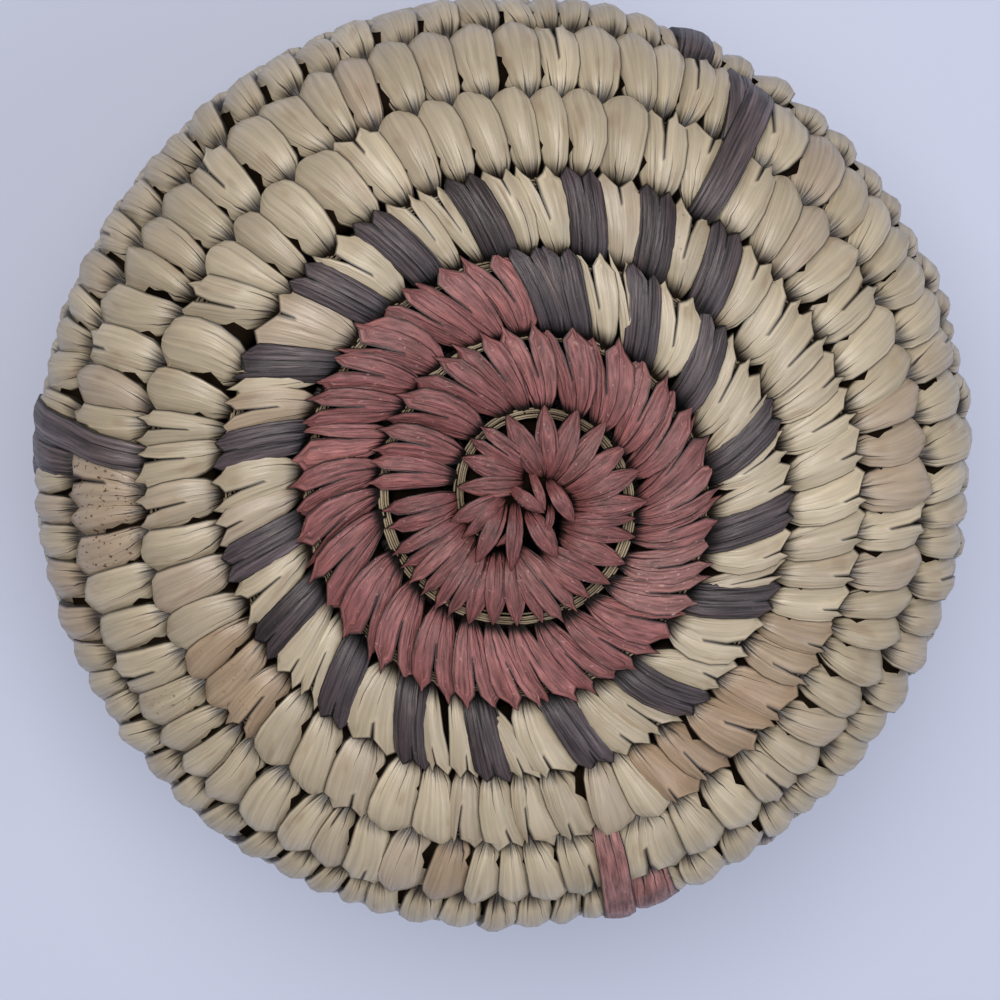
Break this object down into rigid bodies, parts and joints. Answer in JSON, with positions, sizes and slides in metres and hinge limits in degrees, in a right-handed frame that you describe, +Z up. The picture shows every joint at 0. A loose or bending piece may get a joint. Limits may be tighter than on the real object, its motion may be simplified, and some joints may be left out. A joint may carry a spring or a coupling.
{
  "type": "lidded basket",
  "caption": "Round coiled basket with a shallow lid that slips over an inset neck, red centre, a ring of dark and natural stitches and small edge marks.",
  "frame": {"origin": "on the ground under the middle of the basket", "axes": "+Z up along the axis of the coils, +Y towards the top edge of the picture, +X towards its right edge"},
  "size_m": [0.1482, 0.1472, 0.1009],
  "materials": {
    "natural_leaf": "satin split leaf over grass stems",
    "red_leaf": "satin red-brown root fibre",
    "dark_leaf": "satin near-black fibre"
  },
  "bodies": {
    "body": {"body_start_knot": "natural_leaf", "body_base_coil": "natural_leaf", "body_wall_coil": "natural_leaf", "body_rim_coil": "natural_leaf", "body_neck_coil": "natural_leaf"},
    "lid": {"lid_start_knot": "red_leaf", "lid_centre_coil": "red_leaf", "lid_ring_coil": "natural_leaf", "lid_top_coil": "natural_leaf", "lid_rim_coil": "natural_leaf", "lid_ring_stitch_01": "dark_leaf", "lid_ring_stitch_02": "dark_leaf", "lid_ring_stitch_03": "dark_leaf", "lid_ring_stitch_04": "dark_leaf", "lid_ring_stitch_05": "dark_leaf", "lid_ring_stitch_06": "dark_leaf", "lid_ring_stitch_07": "dark_leaf", "lid_ring_stitch_08": "dark_leaf", "lid_ring_stitch_09": "dark_leaf", "lid_ring_stitch_10": "dark_leaf", "lid_ring_stitch_11": "dark_leaf", "lid_ring_stitch_12": "dark_leaf", "lid_ring_stitch_13": "dark_leaf", "lid_ring_stitch_14": "dark_leaf", "lid_ring_stitch_15": "dark_leaf", "lid_ring_stitch_16": "dark_leaf", "lid_ring_stitch_17": "dark_leaf", "lid_ring_stitch_18": "dark_leaf", "lid_ring_stitch_19": "dark_leaf", "lid_ring_stitch_20": "dark_leaf", "lid_ring_stitch_21": "dark_leaf", "lid_ring_stitch_22": "dark_leaf", "lid_motif_left_long_stitch": "dark_leaf", "lid_motif_left_side_stitch": "dark_leaf", "lid_motif_left_low_stitch": "dark_leaf", "lid_motif_upper_right_long_stitch": "dark_leaf", "lid_motif_upper_right_side_stitch": "dark_leaf", "lid_motif_upper_right_low_stitch": "dark_leaf", "lid_motif_lower_right_long_stitch": "red_leaf", "lid_motif_lower_right_side_stitch": "red_leaf"}
  },
  "joints": [
    {"name": "lid_lift", "type": "slide", "parent": "body", "child": "lid", "axis": [0, 0, 1], "range_m": [0, 0.12]}
  ]
}
